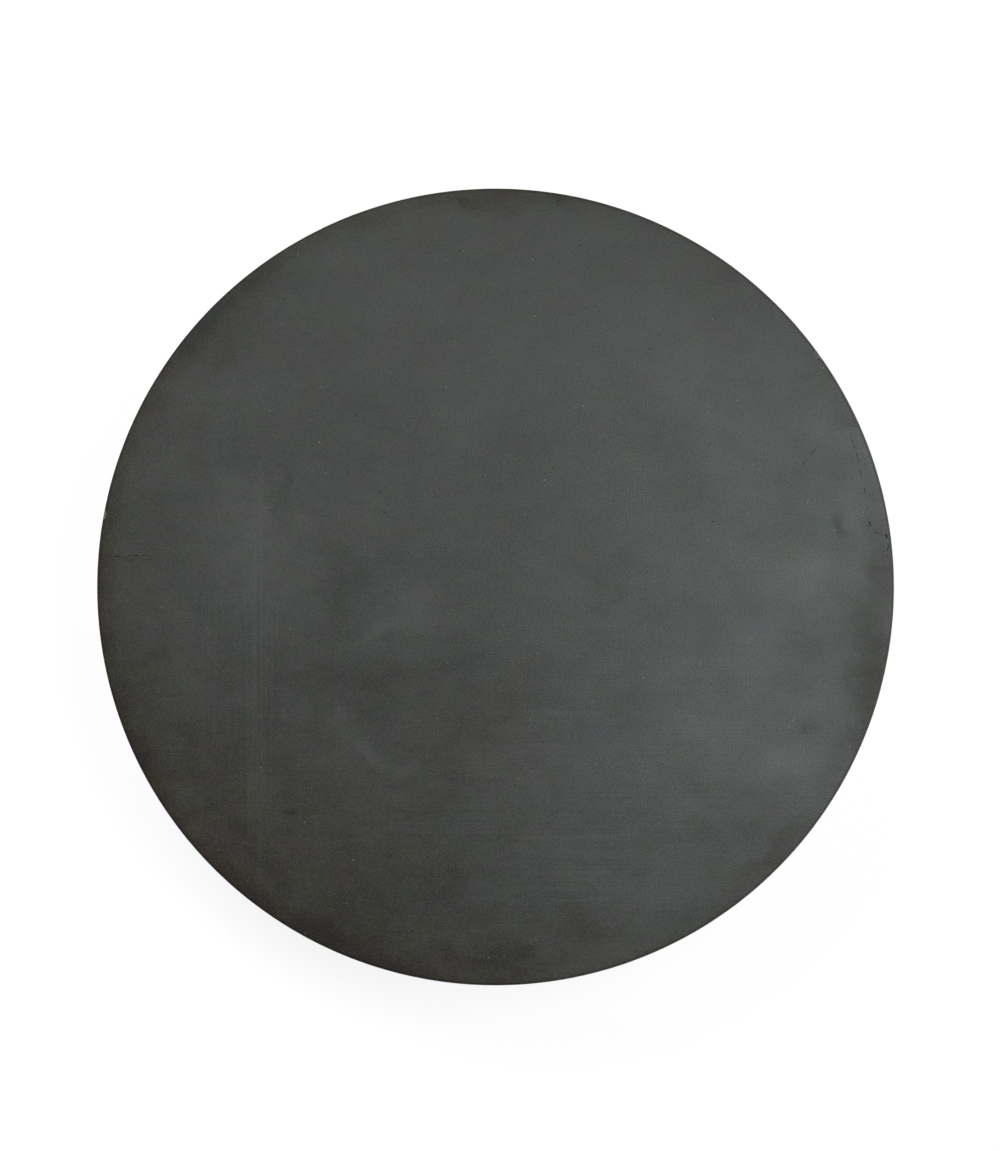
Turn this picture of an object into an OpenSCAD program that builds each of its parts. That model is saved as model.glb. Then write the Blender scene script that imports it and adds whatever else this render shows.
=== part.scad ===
// Disc magnet of sintered hard ferrite.
// Powder is pressed in a round die, fired as one piece, and both pole faces are ground flat.
// The disc lies on its lower pole face, with the middle of that face at the origin.

/* [Disc] */
// Diameter of the side wall, as fired
disc_d = 60; // [20:1:120]
// Thickness from one ground pole face to the other
disc_h = 10; // [4:0.5:30]
// Radius that tumbling leaves on the edge of each pole face
edge_r = 0.25; // [0.1:0.05:1]

/* [Larger chip in the upper edge] */
// Place of its middle, counter-clockwise from +X, in degrees
large_chip_angle = 35.5; // [0:0.5:359.5]
// Length along the rim
large_chip_length = 1; // [0.5:0.1:4]
// Depth below the rounded edge
large_chip_depth = 0.2; // [0.05:0.05:0.6]

/* [Smaller chip in the upper edge] */
// Place of its middle, counter-clockwise from +X, in degrees
small_chip_angle = 169.5; // [0:0.5:359.5]
// Length along the rim
small_chip_length = 0.8; // [0.5:0.1:4]
// Depth below the rounded edge
small_chip_depth = 0.15; // [0.05:0.05:0.6]

/* [Hidden] */
disc_r = disc_d / 2;
disc_sides = 240;
edge_sides = 64;
chip_sides = 64;

// Half of the disc's cross-section: two flat faces, a straight wall and a quarter round at each corner.
module half_section() {
    face_r = disc_r - edge_r;
    square([face_r, disc_h]);
    translate([0, edge_r])
        square([disc_r, disc_h - 2 * edge_r]);
    for (z = [edge_r, disc_h - edge_r])
        translate([face_r, z])
            circle(r = edge_r, $fn = edge_sides);
}

// Brittle ferrite breaks away in shells. A ball of that curve dips into the upper edge, half-way round its corner.
module edge_chip(angle, length, depth) {
    shell_r = (pow(length / 2, 2) + pow(depth, 2)) / (2 * depth);
    corner_cut = edge_r * (1 - cos(45));
    lift = (shell_r - depth) * cos(45) - corner_cut;
    rotate(angle)
        translate([disc_r + lift, 0, disc_h + lift])
            sphere(r = shell_r, $fn = chip_sides);
}

module ferrite_disc() {
    color([0.30, 0.31, 0.30])
        difference() {
            rotate_extrude($fn = disc_sides)
                half_section();
            edge_chip(large_chip_angle, large_chip_length, large_chip_depth);
            edge_chip(small_chip_angle, small_chip_length, small_chip_depth);
        }
}

ferrite_disc();
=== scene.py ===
# Dressed model of a disc magnet: one disc of hard ferrite, pressed, fired and ground on both pole faces.
import math
import random

import bpy
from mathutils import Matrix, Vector, noise


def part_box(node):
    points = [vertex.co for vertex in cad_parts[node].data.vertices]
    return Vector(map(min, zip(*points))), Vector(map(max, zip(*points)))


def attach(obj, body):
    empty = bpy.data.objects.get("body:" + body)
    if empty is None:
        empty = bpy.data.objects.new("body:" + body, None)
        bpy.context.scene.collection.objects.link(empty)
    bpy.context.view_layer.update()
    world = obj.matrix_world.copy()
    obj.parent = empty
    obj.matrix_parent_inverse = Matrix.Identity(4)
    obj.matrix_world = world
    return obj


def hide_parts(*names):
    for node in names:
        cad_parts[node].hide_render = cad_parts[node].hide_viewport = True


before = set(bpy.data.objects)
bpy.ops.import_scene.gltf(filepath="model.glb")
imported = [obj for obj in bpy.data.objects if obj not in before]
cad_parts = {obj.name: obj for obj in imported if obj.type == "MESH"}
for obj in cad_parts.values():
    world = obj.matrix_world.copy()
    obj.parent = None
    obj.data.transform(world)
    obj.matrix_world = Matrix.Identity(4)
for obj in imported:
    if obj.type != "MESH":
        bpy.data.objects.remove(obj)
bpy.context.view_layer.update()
discLow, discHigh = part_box("ferrite_disc")
discRadius = (discHigh.x - discLow.x) / 2
discThickness = discHigh.z - discLow.z
mm = 0.001  # metres in a millimetre


# Helpers that every piece and material uses.

def linearColour(hexCode):
    channels = [int(hexCode[i:i + 2], 16) / 255 for i in (1, 3, 5)]
    bent = [c / 12.92 if c <= 0.04045 else ((c + 0.055) / 1.055) ** 2.4 for c in channels]
    return (*bent, 1.0)


def stretch(alongX, alongY, alongZ):
    # scale of a Mapping node, so that one lump of a pattern measures this many millimetres each way
    return (1 / (alongX * mm), 1 / (alongY * mm), 1 / (alongZ * mm))


def addNode(tree, kind, settings=None, links=None):
    # settings are a node's properties, or its sockets by name or number; a colour Mix has its two colours
    # at 6 and 7, and its result at output 2
    node = tree.nodes.new(kind)
    for name, value in (settings or {}).items():
        if isinstance(name, str) and hasattr(node, name):
            setattr(node, name, value)
        else:
            node.inputs[name].default_value = value
    for name, source in (links or {}).items():
        tree.links.new(source, node.inputs[name])
    return node


def selectOnly(piece):
    if bpy.context.object and bpy.context.object.mode != "OBJECT":
        bpy.ops.object.mode_set(mode="OBJECT")
    bpy.ops.object.select_all(action="DESELECT")
    piece.select_set(True)
    bpy.context.view_layer.objects.active = piece


def pickParts(piece, kind, rule):
    # a choice written onto the mesh in object mode is still there in edit mode
    selectOnly(piece)
    bpy.ops.object.mode_set(mode="EDIT")
    bpy.ops.mesh.select_mode(type=kind)
    bpy.ops.mesh.select_all(action="DESELECT")
    bpy.ops.object.mode_set(mode="OBJECT")
    parts = piece.data.edges if kind == "EDGE" else piece.data.polygons
    for part in parts:
        part.select = rule([piece.data.vertices[i].co for i in part.vertices])
    bpy.ops.object.mode_set(mode="EDIT")


# Hard ferrite is a dark ceramic, and this disc shows it with four surfaces.

# Ground with a diamond wheel, which gives a flat satin face: cool grey where it is bare, and a darker brown
# where wear and film lie on it; along the rim and on the lower left that brown also paints shade, and the lit
# edge has a painted highlight.
groundFinish = {
    "dark": "#1F1E18",  # the colours between which its patterns lead
    "pale": "#414140",
    # a thin brown film that handling and the firing tray leave takes this away; it is thickest along the rim,
    # where it also paints shade
    "film": "#212A2F",
    "roughness": 0.45,
    "filmRoughness": 0.30,  # how much rougher a full film makes it
    "ior": 1.5,
    "tint": (0.88, 1.0, 1.0, 1.0),  # its gloss is a little cool
    "bumpHeight": 0.010,  # mm
    # clouds: size in mm along x, y and z, detail, how far the tone and the roughness swing
    "clouds": [
        {"size": (15, 12, 12), "detail": 2, "tone": 0.44, "sheen": 0.00},
        {"size": (5.0, 4.0, 4.0), "detail": 3, "tone": 0.44, "sheen": -0.04},
        {"size": (1.8, 1.4, 1.4), "detail": 2, "tone": 0.34, "sheen": 0.00},
        {"size": (0.7, 0.6, 0.6), "detail": 2, "tone": 0.20, "sheen": 0.00},
        {"size": (0.36, 0.32, 0.32), "detail": 1, "tone": 0.34, "sheen": 0.00},
    ],
    # sintered grain, coarser than the real few microns so that it shows
    "grain": {"size": (0.135, 0.125, 0.125), "detail": 2, "tone": 1.70, "sheen": -0.05},
    "wornSide": (-0.35, -0.94),  # the direction in which the face is worn most
    # how strongly clouds and grain show on the least worn side and on the most worn
    "cloudSpread": (0.45, 1.50),
    "grainSpread": (0.85, 1.15),
    "filmCloud": {"size": (6.0, 5.0, 5.0), "detail": 2, "film": 0.60},  # the film lies unevenly
    # its clouds and the hues are read this far away, in metres, so that they don't follow the clouds above
    "shift": (0.31, 0.17, 0),
    # the colour strays from olive to slate and from rust to green, and gets neither paler nor darker:
    # the spread is how strongly, on the least worn side and on the most worn
    "hues": [
        {"size": (2.4, 2.2, 5.0), "swing": (0.0066, 0.0158, -0.0206), "spread": (0.75, 1.15)},
        {"size": (2.8, 2.4, 7.0), "swing": (0.0130, -0.0108, -0.0022), "spread": (1.35, 0.45)},
    ],
    "hueDetail": 4,
    "hueRoughness": 0.8,
    # lines that the wheel left: size of one line in mm, middle and reach of the soft oval that shows them,
    # tone, whether worn places break them, and how deep they are beside the grain
    "wheelLines": [
        ((11, 0.20, 1), (9, -15), (66, 46), 1.05, True, 1.0),
        ((24, 0.45, 1), (4, -15), (60, 34), 0.60, True, 0.0),
        ((9, 1.8, 1), (7, -14), (72, 46), 0.95, True, 0.0),
        ((0.24, 18, 1), (-17.9, -9), (4.6, 50), 1.05, False, 1.0),
        ((0.30, 12, 1), (-21.0, -9), (8.0, 34), 0.70, True, 0.0),
    ],
    "lineDetail": 2,
    # size in mm of the places where those lines are worn away, detail, and how sharply they end
    "lineGaps": {"size": (5.0, 4.0, 5.0), "detail": 3, "edge": 0.12},
    # single pale grains, and dark dots that paint tiny pores with their dirt and shade: spacing and radius in
    # mm, share of the places that have one, colour
    "specks": [
        {"spacing": 2.6, "radius": 0.048, "share": 0.60, "colour": "#6C6D67"},
        # dark dots: dirt and painted shade of tiny pores
        {"spacing": 1.7, "radius": 0.075, "share": 0.50, "colour": "#0C0B09"},
    ],
    "speckEdge": (1.4, 0.6),  # a speck shows from the first of these radii and is full from the second
    "speckPower": 3.0,  # the higher, the more specks are weak
    # a noise pushes the edges of the smudges about: its size in mm, and how far it pushes wide smudges
    # and narrow ones, in mm; a smudge is narrow below the last width
    "push": {"size": 2.6, "detail": 3, "roughness": 0.6, "wide": 4.5, "narrow": 2.4, "narrowBelow": 3.0},
    # film and painted shade round the rim: from and to which radius in mm it rises, share of film and shade,
    # tone, whether its edge is pushed about, and whether it keeps mostly to one side
    "rimFilmsAndShade": [
        {"from": 20.0, "to": 30.5, "film": 0.30, "tone": -0.06, "pushed": True, "oneSided": False},
        {"from": 27.6, "to": 30.3, "film": 0.46, "tone": -0.05, "pushed": True, "oneSided": True},
        {"from": 29.74, "to": 29.86, "film": 0.34, "tone": 0.00, "pushed": False, "oneSided": True},
    ],
    "shadedRimSide": (-1.0, 0.0),  # the film and painted shade round the rim are thickest in this direction, away from the key lamp
    "rimSpread": (0.35, 1.05),  # share of it on the far side and on the near side
    # a painted highlight on the edge on the far side, which faces the key lamp: from and to which radius in
    # mm, tone, and where along the diameter this begins and is full
    "paintedEdgeHighlight": {"from": 29.76, "to": 29.90, "tone": 0.90, "begins": -0.2, "full": -0.9},
}

# Worn and smudged places, the broad one on the lower left also painted shade: middle, length, width and turn
# in mm and degrees, tone, share of film and shade.
smudgesAndShade = [
    (-11.5, -0.4, 4.6, 10.0, 0, -0.34, 0.05),
    (-9.6, -6.8, 15.0, 4.6, 0, -0.20, 0.14),
    (-8.6, -9.9, 5.6, 4.6, 0, -0.14, 0.14),
    (-2.6, -5.4, 8.0, 3.2, 10, -0.18, 0.12),
    (-1.5, -10.5, 17.0, 15.0, 0, 0.07, 0.44),
    (-15.9, 6.4, 3.2, 9.0, 8, -0.28, 0.0),
    (8.8, 0.7, 7.6, 7.0, 20, -0.16, 0.05),
    (13.0, 11.2, 8.0, 6.0, 30, -0.12, 0.05),
    (14.6, 8.2, 8.0, 7.0, 0, -0.12, 0.10),
    (27.8, -4.6, 5.6, 12.0, 0, -0.14, 0.12),
    (-11.6, -26.6, 12.0, 4.4, -22, -0.10, 0.2),
    (23.6, -10.3, 2.4, 1.9, 0, -0.28, 0.1),
    (1.6, -27.6, 4.0, 1.6, 0, -0.18, 0.1),
    (-15.7, -16.9, 1.8, 0.8, -32, -0.40, 0.25),
    (25.8, 4.8, 1.3, 2.8, 8, -0.12, 0.15),
    (28.8, 1.2, 4.4, 6.4, 0, 0.08, 0.16),
    (26.9, 12.4, 3.0, 5.0, 30, 0.0, 0.18),
    (-27.3, 2.35, 3.8, 0.7, 2, -0.22, 0.10),
    (4.9, 29.2, 2.6, 1.2, 0, -0.24, 0.1),
    (-2.5, 28.9, 2.6, 1.4, 0, -0.24, 0.1),
    (-6.2, -1.2, 7.0, 6.0, 20, 0.34, 0.0),
    (-9.0, -3.2, 5.6, 2.0, 40, 0.30, 0.0),
    (-11.8, -9.2, 4.8, 2.4, -72, 0.24, 0.0),
    (-9.6, -12.4, 6.4, 2.4, -42, 0.32, 0.0),
    (-7.0, -13.8, 3.6, 2.2, 20, 0.18, 0.0),
    (14.0, 16.0, 7.0, 6.0, 0, 0.18, 0.0),
    (23.0, -13.2, 10.0, 6.0, 25, 0.34, 0.0),
    (27.1, 4.6, 2.8, 10.0, 8, 0.28, 0.0),
    (23.0, 5.0, 15.0, 20.0, 0, -0.22, -0.10),
    (-17.9, -8.0, 2.8, 42.0, 0, 0.20, 0.0),
    (-17.0, 3.0, 20.0, 20.0, 0, 0.27, 0.08),
    (15.0, -8.5, 20.0, 14.0, -25, 0.16, 0.0),
    # brown film and painted shade: the lower left, away from both lamps, is made darker
    (-15.0, -20.0, 56.0, 36.0, -35, -0.10, 0.46),
    (-19.5, 21.5, 24.0, 9.0, 42, -0.12, 0.08),
    (1.0, 29.4, 26.0, 3.6, 0, -0.08, 0.16),
    (-18.8, -18.8, 15.0, 4.8, -45, -0.28, 0.0),
    (-26.6, -5.5, 7.0, 9.0, 0, -0.08, 0.10),
    (-20.5, 19.5, 8.0, 8.0, 0, -0.14, 0.0),
    (-20.3, 21.0, 18.0, 2.8, 45, -0.14, 0.0),
    (-18.5, 3.5, 12.0, 12.0, 0, 0.16, 0.04),
    (-8.0, 7.0, 18.0, 15.0, 0, 0.18, 0.04),
    (-3.0, 12.0, 13.0, 12.0, 0, 0.14, 0.0),
    (3.0, 9.0, 44.0, 18.0, 0, -0.06, -0.20),
    (6.5, -26.0, 9.0, 6.0, 0, 0.04, 0.42),
    (2.5, -13.0, 15.0, 9.0, 0, 0.12, 0.18),
    (0.0, -28.2, 14.0, 4.0, 0, -0.16, 0.22),
    (20.6, -20.6, 16.0, 4.0, 45, 0.16, 0.28),
    (20.5, -4.0, 9.0, 13.0, 0, 0.16, 0.0),
    (6.7, -20.0, 10.0, 9.0, 0, 0.10, 0.0),
    (20.0, 20.0, 9.0, 9.0, 0, -0.13, -0.06),
    (28.6, -7.5, 7.0, 13.0, 5, 0.09, 0.31),
    (26.8, -5.15, 1.7, 0.30, -12, 0.40, 0.0),
]


def newMaterial(name):
    material = bpy.data.materials.new(name)
    material.use_nodes = True
    material.node_tree.nodes.clear()
    return material, material.node_tree


def addUp(tree, start, terms):
    # the start, a number or a pattern, plus each pattern times its amount
    total = start
    for pattern, amount in terms:
        step = addNode(tree, "ShaderNodeMath", {"operation": "MULTIPLY_ADD", 1: amount}, {0: pattern})
        if isinstance(total, float):
            step.inputs[2].default_value = total
        else:
            tree.links.new(total, step.inputs[2])
        total = step.outputs[0]
    return total


def addLumps(tree, place, size, detail, roughness=0.55):
    # noise between about -0.3 and 0.3, whose lumps have this size in mm along x, y and z
    spread = addNode(tree, "ShaderNodeMapping", {"Scale": stretch(*size)}, {"Vector": place})
    lumps = addNode(tree, "ShaderNodeTexNoise", {"Scale": 1.0, "Detail": detail, "Roughness": roughness},
                    {"Vector": spread.outputs[0]})
    centred = addNode(tree, "ShaderNodeMath", {"operation": "SUBTRACT", 1: 0.5}, {0: lumps.outputs["Fac"]})
    return centred.outputs[0]


def addOval(tree, place, middle, reach, turn=0):
    # 1 in the middle of an oval on the upper face, fading to 0 at its rim
    local = addNode(tree, "ShaderNodeMapping", {
        "vector_type": "TEXTURE",
        "Location": (middle[0] * mm, middle[1] * mm, discHigh.z),
        "Rotation": (0, 0, math.radians(turn)),
        "Scale": (reach[0] / 2 * mm, reach[1] / 2 * mm, mm)}, {"Vector": place})
    ball = addNode(tree, "ShaderNodeTexGradient", {"gradient_type": "SPHERICAL"},
                   {"Vector": local.outputs[0]})
    soft = addNode(tree, "ShaderNodeMapRange", {"interpolation_type": "SMOOTHSTEP"},
                   {"Value": ball.outputs["Fac"]})
    return soft.outputs[0]


def addRing(tree, place, start, end):
    # rises from 0 to 1 between two radii in mm
    flat = addNode(tree, "ShaderNodeVectorMath", {"operation": "MULTIPLY", 1: (1, 1, 0)}, {0: place})
    fromAxis = addNode(tree, "ShaderNodeVectorMath", {"operation": "LENGTH"}, {0: flat.outputs[0]})
    ring = addNode(tree, "ShaderNodeMapRange", {
        "interpolation_type": "SMOOTHSTEP", "From Min": start * mm, "From Max": end * mm},
        {"Value": fromAxis.outputs["Value"]})
    return ring.outputs[0]


def addSideFade(tree, place, towards, least, most, start=-1.0, end=1.0):
    # changes from least to most along the diameter that points in this direction, whose ends are at -1 and 1
    along = addNode(tree, "ShaderNodeVectorMath", {
        "operation": "DOT_PRODUCT", 1: Vector((*towards, 0)) / discRadius}, {0: place})
    fade = addNode(tree, "ShaderNodeMapRange", {
        "From Min": start, "From Max": end, "To Min": least, "To Max": most},
        {"Value": along.outputs["Value"]})
    return fade.outputs[0]


def addSpecks(tree, place, finish, speck):
    # round dots with soft edges in some of the cells of a pattern, most of them weak
    radius = speck["radius"] / speck["spacing"]
    outer, inner = finish["speckEdge"]
    cells = addNode(tree, "ShaderNodeTexVoronoi", {
        "voronoi_dimensions": "2D", "Scale": 1 / (speck["spacing"] * mm)}, {"Vector": place})
    near = addNode(tree, "ShaderNodeMapRange", {"From Min": outer * radius, "From Max": inner * radius},
                   {"Value": cells.outputs["Distance"]})
    draw = addNode(tree, "ShaderNodeSeparateColor", links={0: cells.outputs["Color"]})
    strength = addNode(tree, "ShaderNodeMapRange", {"From Max": speck["share"], "To Min": 1.0, "To Max": 0.0},
                       {"Value": draw.outputs["Blue"]})
    weakened = addNode(tree, "ShaderNodeMath", {"operation": "POWER", 1: finish["speckPower"]},
                       {0: strength.outputs[0]})
    return addNode(tree, "ShaderNodeMath", {"operation": "MULTIPLY"},
                   {0: near.outputs[0], 1: weakened.outputs[0]}).outputs[0]


def addPushed(tree, place, push, reach):
    # the coordinates, pushed about by a noise that reaches this far in mm
    noisy = addNode(tree, "ShaderNodeTexNoise", {
        "Scale": 1 / (push["size"] * mm), "Detail": push["detail"], "Roughness": push["roughness"]},
        {"Vector": place})
    centred = addNode(tree, "ShaderNodeVectorMath", {"operation": "SUBTRACT", 1: (0.5, 0.5, 0.5)},
                      {0: noisy.outputs["Color"]})
    pushed = addNode(tree, "ShaderNodeVectorMath", {
        "operation": "MULTIPLY_ADD", 1: (reach * mm, reach * mm, 0)}, {0: centred.outputs[0], 2: place})
    return pushed.outputs[0]


def groundPatterns(tree, place, finish):
    # clouds, grain and wheel lines, as terms of the tone, of the roughness and of the relief
    clouds = []
    sheens = []
    for cloud in finish["clouds"]:
        lumps = addLumps(tree, place, cloud["size"], cloud["detail"])
        clouds.append((lumps, cloud["tone"]))
        if cloud["sheen"]:
            sheens.append((lumps, cloud["sheen"]))
    worn = addSideFade(tree, place, finish["wornSide"], *finish["cloudSpread"])
    wornClouds = addNode(tree, "ShaderNodeMath", {"operation": "MULTIPLY"},
                         {0: addUp(tree, 0.0, clouds), 1: worn}).outputs[0]

    grain = finish["grain"]
    lumps = addLumps(tree, place, grain["size"], grain["detail"])
    worn = addSideFade(tree, place, finish["wornSide"], *finish["grainSpread"])
    wornGrain = addNode(tree, "ShaderNodeMath", {"operation": "MULTIPLY"}, {0: lumps, 1: worn}).outputs[0]
    tones = [(wornClouds, 1.0), (wornGrain, grain["tone"])]
    sheens.append((lumps, grain["sheen"]))
    reliefs = [(lumps, 1.0)]

    gaps = finish["lineGaps"]
    patchy = addNode(tree, "ShaderNodeMapRange", {"From Min": -gaps["edge"], "From Max": gaps["edge"]},
                     {"Value": addLumps(tree, place, gaps["size"], gaps["detail"])}).outputs[0]
    for size, middle, reach, tone, broken, depth in finish["wheelLines"]:
        lines = addLumps(tree, place, size, finish["lineDetail"])
        shown = addNode(tree, "ShaderNodeMath", {"operation": "MULTIPLY"},
                        {0: lines, 1: addOval(tree, place, middle, reach)}).outputs[0]
        if broken:
            shown = addNode(tree, "ShaderNodeMath", {"operation": "MULTIPLY"},
                            {0: shown, 1: patchy}).outputs[0]
        tones.append((shown, tone))
        if depth:
            reliefs.append((shown, depth))
    return tones, sheens, reliefs


def smudgeShadeAndHighlightPatterns(tree, place, shifted, finish):
    # smudges, the film and painted shade round the rim, and the painted highlight on the lit edge, as terms
    # of the tone and of the film
    push = finish["push"]
    widePlace = addPushed(tree, place, push, push["wide"])
    narrowPlace = addPushed(tree, place, push, push["narrow"])
    filmCloud = finish["filmCloud"]
    tones = []
    films = [(addLumps(tree, shifted, filmCloud["size"], filmCloud["detail"]), filmCloud["film"])]
    for x, y, length, width, turn, tone, film in smudgesAndShade:
        where = narrowPlace if min(length, width) < push["narrowBelow"] else widePlace
        patch = addOval(tree, where, (x, y), (length, width), turn)
        tones.append((patch, tone))
        if film:
            films.append((patch, film))

    # painted shade with the film: the rim is darkest on the side away from the key lamp
    filmAndShadeThickness = addSideFade(tree, place, finish["shadedRimSide"], *finish["rimSpread"])
    # squared, it falls away faster towards the far side
    oneSided = addNode(tree, "ShaderNodeMath", {"operation": "POWER", 1: 2.0}, {0: filmAndShadeThickness}).outputs[0]
    # the narrowest ring, on the rounded edge, paints a dark line of shade along it
    for rim in finish["rimFilmsAndShade"]:
        ring = addRing(tree, narrowPlace if rim["pushed"] else place, rim["from"], rim["to"])
        shown = addNode(tree, "ShaderNodeMath", {"operation": "MULTIPLY"},
                        {0: ring, 1: oneSided if rim["oneSided"] else filmAndShadeThickness}).outputs[0]
        films.append((shown, rim["film"]))
        tones.append((shown, rim["tone"]))

    # painted highlight: the edge on the side of the key lamp is made paler
    pale = finish["paintedEdgeHighlight"]
    ring = addRing(tree, place, pale["from"], pale["to"])
    farSide = addSideFade(tree, place, finish["shadedRimSide"], 0.0, 1.0, pale["begins"], pale["full"])
    highlightedEdge = addNode(tree, "ShaderNodeMath", {"operation": "MULTIPLY"}, {0: ring, 1: farSide}).outputs[0]
    tones.append((highlightedEdge, pale["tone"]))
    return tones, films


def strayHues(tree, place, shifted, finish, colour):
    for hue in finish["hues"]:
        lumps = addLumps(tree, shifted, hue["size"], finish["hueDetail"], finish["hueRoughness"])
        spread = addSideFade(tree, place, finish["wornSide"], *hue["spread"])
        amount = addNode(tree, "ShaderNodeMath", {"operation": "MULTIPLY"}, {0: lumps, 1: spread}).outputs[0]
        stray = addNode(tree, "ShaderNodeVectorMath", {"operation": "SCALE", 0: hue["swing"]},
                        {"Scale": amount})
        colour = addNode(tree, "ShaderNodeVectorMath", {"operation": "ADD"},
                         {0: stray.outputs[0], 1: colour}).outputs[0]
    return colour


def makeGroundFerrite():
    finish = groundFinish
    material, tree = newMaterial("groundFerrite")
    place = addNode(tree, "ShaderNodeTexCoord").outputs["Object"]
    shifted = addNode(tree, "ShaderNodeVectorMath", {"operation": "ADD", 1: finish["shift"]},
                      {0: place}).outputs[0]
    patternTones, sheens, reliefs = groundPatterns(tree, place, finish)
    smudgeShadeAndHighlightTones, films = smudgeShadeAndHighlightPatterns(tree, place, shifted, finish)

    # without any pattern the face is half-way from dark to pale
    tone = addUp(tree, 0.5, patternTones + smudgeShadeAndHighlightTones)
    colour = addNode(tree, "ShaderNodeMix", {
        "data_type": "RGBA", "clamp_factor": False,
        6: linearColour(finish["dark"]), 7: linearColour(finish["pale"])}, {0: tone}).outputs[2]
    # the film darkens and browns the colour and makes it rougher; along the rim and on the lower left it also
    # paints shade
    film = addUp(tree, 0.0, films)
    colour = addNode(tree, "ShaderNodeMix", {
        "data_type": "RGBA", "blend_type": "SUBTRACT", "clamp_result": True, 7: linearColour(finish["film"])},
        {0: film, 6: colour}).outputs[2]
    colour = strayHues(tree, place, shifted, finish, colour)
    for speck in finish["specks"]:
        colour = addNode(tree, "ShaderNodeMix", {"data_type": "RGBA", 7: linearColour(speck["colour"])},
                         {0: addSpecks(tree, place, finish, speck), 6: colour}).outputs[2]

    sheen = addUp(tree, finish["roughness"], sheens + [(film, finish["filmRoughness"])])
    bump = addNode(tree, "ShaderNodeBump", {"Strength": 1.0, "Distance": finish["bumpHeight"] * mm},
                   {"Height": addUp(tree, 0.0, reliefs)})
    surface = addNode(tree, "ShaderNodeBsdfPrincipled", {
        "IOR": finish["ior"], "Specular Tint": finish["tint"]},
        {"Base Color": colour, "Roughness": sheen, "Normal": bump.outputs[0]})
    addNode(tree, "ShaderNodeOutputMaterial", links={"Surface": surface.outputs[0]})
    return material


# The side wall keeps its skin from the kiln: duller and darker than the ground faces, drawn by the press die.
firedFinish = {
    "colour": "#2E2B24",
    "roughness": 0.58,
    "ior": 1.5,
    "specular": 0.3,
    "bumpHeight": 0.02,  # mm
    # patterns: size in mm along x, y and z, detail, how far the tone and the roughness swing
    "dieLines": {"size": (0.22, 0.22, 9), "detail": 2, "tone": 0.8},
    "clouds": {"size": (3, 3, 2), "detail": 3, "tone": 1.4, "sheen": -0.15},
    # sintered grain, coarser than the real few microns so that it shows
    "grain": {"size": (0.15, 0.15, 0.15), "detail": 2, "tone": 2.0},
}


def makeFiredFerrite():
    finish = firedFinish
    material, tree = newMaterial("firedFerrite")
    place = addNode(tree, "ShaderNodeTexCoord").outputs["Object"]
    dieLines, clouds, grain = [
        addLumps(tree, place, finish[name]["size"], finish[name]["detail"])
        for name in ("dieLines", "clouds", "grain")]
    tone = addUp(tree, 1.0, [
        (dieLines, finish["dieLines"]["tone"]),
        (clouds, finish["clouds"]["tone"]),
        (grain, finish["grain"]["tone"])])
    colour = linearColour(finish["colour"])[:3]
    toned = addNode(tree, "ShaderNodeVectorMath", {"operation": "SCALE", 0: colour}, {"Scale": tone})
    bump = addNode(tree, "ShaderNodeBump", {"Strength": 1.0, "Distance": finish["bumpHeight"] * mm},
                   {"Height": addUp(tree, grain, [(dieLines, 1.0)])})
    sheen = addUp(tree, finish["roughness"], [(clouds, finish["clouds"]["sheen"])])
    surface = addNode(tree, "ShaderNodeBsdfPrincipled", {
        "IOR": finish["ior"], "Specular IOR Level": finish["specular"]},
        {"Base Color": toned.outputs[0], "Roughness": sheen, "Normal": bump.outputs[0]})
    addNode(tree, "ShaderNodeOutputMaterial", links={"Surface": surface.outputs[0]})
    return material


# A fresh break is a paler, sugary grey with no skin. A crack, a scratch or an open pore is coloured near
# black, for the dirt packed in it and as painted shade in its hollow.
# Their grain is given in mm, coarser than the real few microns so that it shows.
brokenFinish = {"colour": "#62635B", "roughness": 0.80, "grain": 0.08}
# near black: dirt, and painted shade in cracks, scratches and pores
crackFinish = {"colour": "#141310", "roughness": 0.95, "grain": 0.15}
# For both: detail, how dark and how pale the grain is beside the colour, and how high it stands in mm.
sugar = {"detail": 2, "dark": 0.6, "pale": 1.4, "bumpHeight": 0.02}


def makeBroken(name, finish):
    material, tree = newMaterial(name)
    place = addNode(tree, "ShaderNodeTexCoord").outputs["Object"]
    grain = addNode(tree, "ShaderNodeTexNoise", {
        "Scale": 1 / (finish["grain"] * mm), "Detail": sugar["detail"]}, {"Vector": place})
    tone = addNode(tree, "ShaderNodeMapRange", {"To Min": sugar["dark"], "To Max": sugar["pale"]},
                   {"Value": grain.outputs["Fac"]})
    colour = linearColour(finish["colour"])[:3]
    toned = addNode(tree, "ShaderNodeVectorMath", {"operation": "SCALE", 0: colour},
                    {"Scale": tone.outputs[0]})
    bump = addNode(tree, "ShaderNodeBump", {"Strength": 1.0, "Distance": sugar["bumpHeight"] * mm},
                   {"Height": grain.outputs["Fac"]})
    surface = addNode(tree, "ShaderNodeBsdfPrincipled", {"Roughness": finish["roughness"]},
                      {"Base Color": toned.outputs[0], "Normal": bump.outputs[0]})
    addNode(tree, "ShaderNodeOutputMaterial", links={"Surface": surface.outputs[0]})
    return material


groundFerrite = makeGroundFerrite()
firedFerrite = makeFiredFerrite()
brokenFerrite = makeBroken("brokenFerrite", brokenFinish)
crackedFerrite = makeBroken("crackedFerrite", crackFinish)
print("ferrite surfaces ready")

# The disc is a round blank with tumbled edges, less what time has taken out of it.

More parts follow.
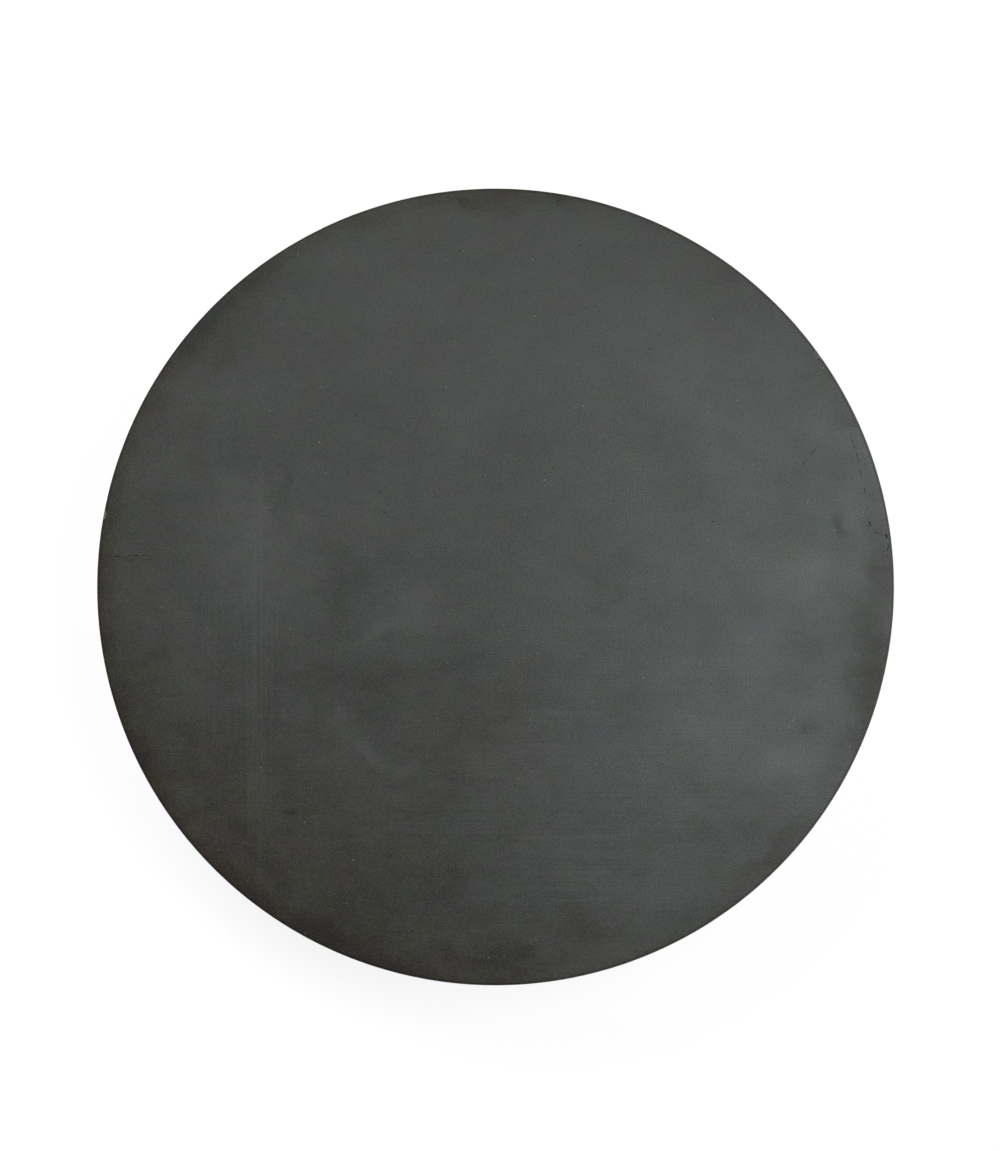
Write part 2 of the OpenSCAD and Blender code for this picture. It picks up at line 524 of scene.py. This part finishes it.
discShape = {
    "sides": 1080,
    "wallCuts": 26,
    "edgeRadius": 0.25 * mm,
    "edgeSteps": 6,
    "faceInsets": [0.4 * mm, 1.1 * mm, 4.0 * mm, 8.0 * mm],
    # the fired wall strays inward, by half of this on average; each stray is given as its waves in a metre
    # round the disc, how much of that it has along z, and how far it swings
    "wallWander": 0.012 * mm,
    "wallWaves": [(250, 0.3, 0.35), (3000, 0.02, 0.35)],
    "groundSlope": 0.35,  # faces whose normals rise or fall by more than this are ground
    "smoothAngle": 30,
    "seed": 7,
}

# Breaks in the upper edge: angle round the axis, then length and depth in mm.
edgeChips = [(35.8, 0.75, 0.12), (169.5, 0.7, 0.11)]

# Cracks and scratches in the upper face: points in mm, width in mm, share of the way that shows.
marks = [
    {"points": [(26.7, 11.4), (27.1, 10.3), (27.35, 9.2)], "width": 0.045, "shows": 0.75},
    {"points": [(27.4, 8.9), (27.6, 7.9), (27.9, 6.7), (28.0, 5.3)], "width": 0.036, "shows": 0.35},
    {"points": [(28.09, 4.92), (28.14, 4.7), (28.24, 4.40)], "width": 0.094, "shows": 1.0},
    {"points": [(28.6, 4.2), (29.0, 3.95), (29.3, 3.8), (29.5, 3.78)], "width": 0.040, "shows": 0.5},
    {"points": [(29.42, 3.88), (29.40, 3.7), (29.40, 3.52)], "width": 0.088, "shows": 1.0},
    {"points": [(29.63, 3.22), (29.58, 3.0), (29.44, 2.60)], "width": 0.104, "shows": 1.0},
    {"points": [(-28.9, 2.3), (-28.0, 2.3), (-27.2, 2.38), (-26.0, 2.4)], "width": 0.052, "shows": 0.85},
    {"points": [(23.1, 9.2), (23.8, 10.0), (24.5, 10.9)], "width": 0.032, "shows": 0.85},
    {"points": [(-2.8, 21.6), (-1.2, 23.3), (0.6, 25.0), (2.6, 26.8), (4.9, 28.9)],
     "width": 0.014, "shows": 0.8},
]
# How such a mark is walked: length of a step, how far it strays in steps, the least and greatest share of
# its width, the steps that a run has at least, and those that a gap has at most.
markWalk = {"step": 0.16 * mm, "stray": 0.25, "widths": (0.55, 1.35), "shortestRun": 4, "longestGap": 8}
# Pores that grinding has opened in the upper face: place and width in mm.
openPores = [(16.3, 4.9, 0.13), (0.2, -18.9, 0.11), (18.6, 8.9, 0.10), (11.6, 17.9, 0.11),
             (28.6, 4.1, 0.08), (29.36, 3.93, 0.12), (29.50, 2.3, 0.08), (24.33, 17.10, 0.14)]
# Lumps on the balls that cut chips and pores: how many in a radius, and how high beside it.
flakeLumps = [(2.2, 0.10), (6.0, 0.03)]


def makeBlank():
    shape = discShape
    half = discThickness / 2
    bpy.ops.object.select_all(action="DESELECT")
    bpy.ops.mesh.primitive_cylinder_add(
        vertices=shape["sides"], radius=discRadius, depth=discThickness, location=(0, 0, discLow.z + half))
    blank = bpy.context.object
    blank.name = "ferriteDisc"
    selectOnly(blank)
    bpy.ops.object.transform_apply(location=True, rotation=True, scale=True)
    pickParts(blank, "EDGE", lambda ends: abs(ends[0].z - ends[1].z) > half)  # upright
    bpy.ops.mesh.subdivide(number_cuts=shape["wallCuts"])
    pickParts(blank, "EDGE", lambda ends: all(abs(p.z - half) > 0.99 * half for p in ends))  # at both faces
    bpy.ops.mesh.bevel(offset=shape["edgeRadius"], segments=shape["edgeSteps"], affect="EDGES")
    for step in shape["faceInsets"]:
        pickParts(blank, "FACE", lambda corners: len(corners) == shape["sides"])  # both flat faces
        bpy.ops.mesh.inset(thickness=step)
    bpy.ops.object.mode_set(mode="OBJECT")
    # the wall and its edges were never ground, so they stray by a few microns, and always inward
    for vertex in blank.data.vertices:
        point = vertex.co
        reach = Vector((point.x, point.y)).length
        if reach > discRadius - 1.01 * shape["edgeRadius"]:
            inward = 0.5
            for waves, drawn, share in shape["wallWaves"]:
                inward += share * noise.noise(Vector((point.x, point.y, point.z * drawn)) * waves)
            shrink = 1 - max(0, inward * shape["wallWander"]) / reach
            vertex.co = (point.x * shrink, point.y * shrink, point.z)
    for material in (groundFerrite, firedFerrite, brokenFerrite, crackedFerrite):
        blank.data.materials.append(material)
    for face in blank.data.polygons:
        face.material_index = 0 if abs(face.normal.z) > shape["groundSlope"] else 1
    return blank


def makeFlake(place, size, material, seed, fineness=4):
    # a lumpy ball; what it takes out of the disc is the shell-shaped scar of a flake
    bpy.ops.object.select_all(action="DESELECT")
    bpy.ops.mesh.primitive_ico_sphere_add(subdivisions=fineness, radius=1)
    flake = bpy.context.object
    shift = Vector((seed * 3.7, seed * 1.3, 0))  # gives each flake lumps of its own
    for vertex in flake.data.vertices:
        lump = sum(noise.noise(vertex.co * number + shift) * height for number, height in flakeLumps)
        vertex.co = Vector([p * s for p, s in zip(vertex.co * (1 + lump), size)]) + Vector(place)
    flake.data.materials.append(material)
    return flake


def makeGroove(spots, material):
    # a thin tube of joined double cones whose middle lies in the face, so that its lower half cuts a V
    curve = bpy.data.curves.new("groove", "CURVE")
    curve.dimensions = "3D"
    curve.bevel_depth = 1.0
    curve.bevel_resolution = 0
    curve.use_fill_caps = True
    run = curve.splines.new("POLY")
    run.points.add(len(spots) - 1)
    for point, (x, y, width) in zip(run.points, spots):
        point.co = (x, y, discHigh.z, 1)
        point.radius = width / 2
    groove = bpy.data.objects.new("groove", curve)
    bpy.context.scene.collection.objects.link(groove)
    selectOnly(groove)
    bpy.ops.object.convert(target="MESH")
    groove.data.materials.clear()
    groove.data.materials.append(material)
    return groove


def makeMark(mark, draw):
    # walks along the mark in short steps that stray sideways, and leaves gaps where it doesn't show
    walk = markWalk
    grooves = []
    spots = []
    gap = 0
    corners = [Vector(point) * mm for point in mark["points"]]
    for start, end in zip(corners, corners[1:]):
        way = end - start
        across = Vector((-way.y, way.x)).normalized()
        steps = max(2, round(way.length / walk["step"]))
        for step in range(steps):
            stray = draw.uniform(-walk["stray"], walk["stray"]) * walk["step"]
            spot = start + way * (step / steps) + across * stray
            width = mark["width"] * mm * draw.uniform(*walk["widths"])
            if gap > 0:
                gap -= 1
                continue
            spots.append((spot.x, spot.y, width))
            if len(spots) >= walk["shortestRun"] and draw.random() > mark["shows"]:
                grooves.append(spots)
                spots = []
                gap = round(draw.random() * walk["longestGap"] * (1 - mark["shows"]))
    if len(spots) > 1:
        grooves.append(spots)
    return [makeGroove(run, crackedFerrite) for run in grooves if len(run) > 1]


def makeBreakCutters():
    # each chip's ball dips into the rounded edge half-way round its corner
    cutters = []
    edge = discShape["edgeRadius"]
    corner = math.sqrt(0.5)
    for number, (angle, length, depth) in enumerate(edgeChips):
        shell = ((length / 2) ** 2 + depth ** 2) / (2 * depth) * mm
        lift = (shell - depth * mm) * corner - edge * (1 - corner)
        a = math.radians(angle)
        reach = discRadius + lift
        cutters.append(makeFlake((reach * math.cos(a), reach * math.sin(a), discHigh.z + lift),
                                 (shell, shell, shell), brokenFerrite, number))
    draw = random.Random(discShape["seed"])
    for mark in marks:
        cutters += makeMark(mark, draw)
    return cutters


def makePoreCutters():
    return [makeFlake((x * mm, y * mm, discHigh.z), [width / 2 * mm] * 3, crackedFerrite, number, fineness=2)
            for number, (x, y, width) in enumerate(openPores)]


def cutAway(blank, cutters):
    selectOnly(cutters[0])
    for cutter in cutters:
        cutter.select_set(True)
    bpy.ops.object.join()
    tool = bpy.context.object
    difference = blank.modifiers.new("breaks", "BOOLEAN")
    difference.operation = "DIFFERENCE"
    difference.solver = "EXACT"
    difference.material_mode = "TRANSFER"
    difference.object = tool
    selectOnly(blank)
    bpy.ops.object.modifier_apply(modifier=difference.name)
    bpy.data.objects.remove(tool)


def smoothDisc(disc):
    selectOnly(disc)
    bpy.ops.object.shade_smooth_by_angle(angle=math.radians(discShape["smoothAngle"]))


ferriteDisc = makeBlank()
print("blank modelled,", len(ferriteDisc.data.polygons), "faces")
cutAway(ferriteDisc, makeBreakCutters())
cutAway(ferriteDisc, makePoreCutters())
smoothDisc(ferriteDisc)
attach(ferriteDisc, "root")
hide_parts("ferrite_disc")
print("breaks cut,", len(ferriteDisc.data.polygons), "faces")

# Floor, world, lamps and camera.

studio = {
    "floorSide": 6.0,
    "floorBounce": 0.85,  # how pale the floor is as the disc sees it
    "floorShadow": 0.2,  # how strongly the disc's shadow shows on it
    # how bright the floor is seen, up to one distance from the disc and from another on, in metres
    "floorGlow": {"near": 0.1, "far": 0.5, "nearGlow": 0.88, "farGlow": 1.0},
    # reflections see the world white up to one height and dim from another on: 0 is level, 1 is overhead
    "horizon": (0.05, 0.5),
    "ambient": 0.08,  # the light that the world adds to the lamps
    "lampSide": 80 * mm,
    # azimuth and elevation in degrees, distance, and the light that reaches the middle of the upper face,
    # where 1 in all shows a colour about as it is written
    "lamps": [
        {"name": "keyPanel", "azimuth": 0, "elevation": 65, "distance": 160 * mm, "light": 0.55},
        {"name": "backPanel", "azimuth": 135, "elevation": 45, "distance": 160 * mm, "light": 0.43},
    ],
    "lampColour": (1.0, 1.0, 0.99),
    "cameraHeight": 300 * mm,
    "viewHeight": 86.58 * mm,  # how much of the floor the picture's longer side takes in
    "cameraX": 0.334 * mm,
    "cameraY": 0.863 * mm,
    "sensorWidth": 36,
    "clip": (0.01, 20),
}


def eitherRay(tree, path, kinds):
    # 1 for rays of any of these kinds, and otherwise 0
    seen = path.outputs[kinds[0]]
    for kind in kinds[1:]:
        seen = addNode(tree, "ShaderNodeMath", {"operation": "MAXIMUM"},
                       {0: seen, 1: path.outputs[kind]}).outputs[0]
    return seen


def makeFloor():
    bpy.ops.object.select_all(action="DESELECT")
    bpy.ops.mesh.primitive_plane_add(size=studio["floorSide"])
    floor = bpy.context.object
    floor.name = "studioFloor"
    material, tree = newMaterial("whiteSweep")
    path = addNode(tree, "ShaderNodeLightPath")
    seen = eitherRay(tree, path, ("Is Camera Ray", "Is Glossy Ray", "Is Transmission Ray"))
    bounce = addNode(tree, "ShaderNodeBsdfDiffuse", {"Color": (*[studio["floorBounce"]] * 3, 1)})
    shadowed = addNode(tree, "ShaderNodeBsdfDiffuse", {"Color": (*[studio["floorShadow"]] * 3, 1)})
    # far from the disc the sweep is seen as white as the world, so that no horizon shows
    glow = studio["floorGlow"]
    place = addNode(tree, "ShaderNodeTexCoord").outputs["Object"]
    fromDisc = addNode(tree, "ShaderNodeVectorMath", {"operation": "LENGTH"}, {0: place})
    brightness = addNode(tree, "ShaderNodeMapRange", {
        "From Min": glow["near"], "From Max": glow["far"],
        "To Min": glow["nearGlow"], "To Max": glow["farGlow"]}, {"Value": fromDisc.outputs["Value"]})
    lit = addNode(tree, "ShaderNodeEmission", {"Color": (1, 1, 1, 1)}, {"Strength": brightness.outputs[0]})
    shown = addNode(tree, "ShaderNodeAddShader", links={0: shadowed.outputs[0], 1: lit.outputs[0]})
    mix = addNode(tree, "ShaderNodeMixShader", links={0: seen, 1: bounce.outputs[0], 2: shown.outputs[0]})
    addNode(tree, "ShaderNodeOutputMaterial", links={"Surface": mix.outputs[0]})
    floor.data.materials.append(material)


def makeWorld():
    world = bpy.data.worlds.new("studioWorld")
    bpy.context.scene.world = world
    world.use_nodes = True
    tree = world.node_tree
    tree.nodes.clear()
    path = addNode(tree, "ShaderNodeLightPath")
    seen = eitherRay(tree, path, ("Is Camera Ray", "Is Transmission Ray"))
    place = addNode(tree, "ShaderNodeTexCoord")
    axes = addNode(tree, "ShaderNodeSeparateXYZ", links={0: place.outputs["Generated"]})
    lowest, highest = studio["horizon"]
    horizon = addNode(tree, "ShaderNodeMapRange", {
        "From Min": lowest, "From Max": highest, "To Min": 1.0, "To Max": 0.0}, {"Value": axes.outputs["Z"]})
    mirrored = addNode(tree, "ShaderNodeMath", {"operation": "MULTIPLY"}, {
        0: horizon.outputs[0], 1: path.outputs["Is Glossy Ray"]})
    white = addNode(tree, "ShaderNodeMath", {"operation": "MAXIMUM"}, {0: seen, 1: mirrored.outputs[0]})
    dim = addNode(tree, "ShaderNodeBackground", {"Color": (1, 1, 1, 1), "Strength": studio["ambient"]})
    bright = addNode(tree, "ShaderNodeBackground", {"Color": (1, 1, 1, 1), "Strength": 1.0})
    mix = addNode(tree, "ShaderNodeMixShader", links={
        0: white.outputs[0], 1: dim.outputs[0], 2: bright.outputs[0]})
    addNode(tree, "ShaderNodeOutputWorld", links={"Surface": mix.outputs[0]})


def makePanel(setting):
    azimuth = math.radians(setting["azimuth"])
    elevation = math.radians(setting["elevation"])
    distance = setting["distance"]
    away = Vector((math.cos(azimuth) * math.cos(elevation), math.sin(azimuth) * math.cos(elevation),
                   math.sin(elevation)))
    lamp = bpy.data.lights.new(setting["name"], "AREA")
    lamp.shape = "SQUARE"
    lamp.size = studio["lampSide"]
    lamp.color = studio["lampColour"]
    lamp.energy = setting["light"] * math.pi ** 2 * distance ** 2 / math.sin(elevation)
    panel = bpy.data.objects.new(setting["name"], lamp)
    bpy.context.scene.collection.objects.link(panel)
    panel.location = Vector((0, 0, discHigh.z)) + away * distance
    panel.rotation_euler = away.to_track_quat("Z", "Y").to_euler()
    panel.visible_camera = False


def makeCamera():
    lens = bpy.data.cameras.new("copyStand")
    lens.sensor_width = studio["sensorWidth"]
    lens.lens = lens.sensor_width * studio["cameraHeight"] / studio["viewHeight"]
    lens.clip_start, lens.clip_end = studio["clip"]
    camera = bpy.data.objects.new("copyStand", lens)
    camera.location = (studio["cameraX"], studio["cameraY"], discHigh.z + studio["cameraHeight"])
    bpy.context.scene.collection.objects.link(camera)
    bpy.context.scene.camera = camera


makeFloor()
makeWorld()
for setting in studio["lamps"]:
    makePanel(setting)
makeCamera()
bpy.context.scene.view_settings.view_transform = "Standard"
print("studio ready")
